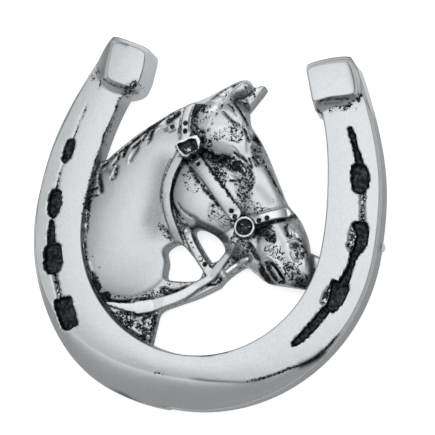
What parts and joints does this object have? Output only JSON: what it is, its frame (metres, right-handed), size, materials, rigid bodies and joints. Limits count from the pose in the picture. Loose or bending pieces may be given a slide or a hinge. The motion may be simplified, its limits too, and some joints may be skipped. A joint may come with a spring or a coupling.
{
  "type": "horseshoe ornament",
  "caption": "Horseshoe-shaped cast ornament with a haltered horse's head in relief across its opening, raised heel blocks, nail creases and a flat back.",
  "frame": {"origin": "centre of the flat back's bounding box, on the surface that the part lies on", "axes": "+Z out of the face, +Y from the toe towards the heels, +X to the right as the face is looked at"},
  "size_m": [0.0712, 0.0734, 0.0075],
  "materials": {
    "antique_pewter": "antique pewter: satin brushed on the raised metal, black patina in the recesses"
  },
  "bodies": {
    "root": {"horseshoe": "antique_pewter"}
  },
  "joints": []
}
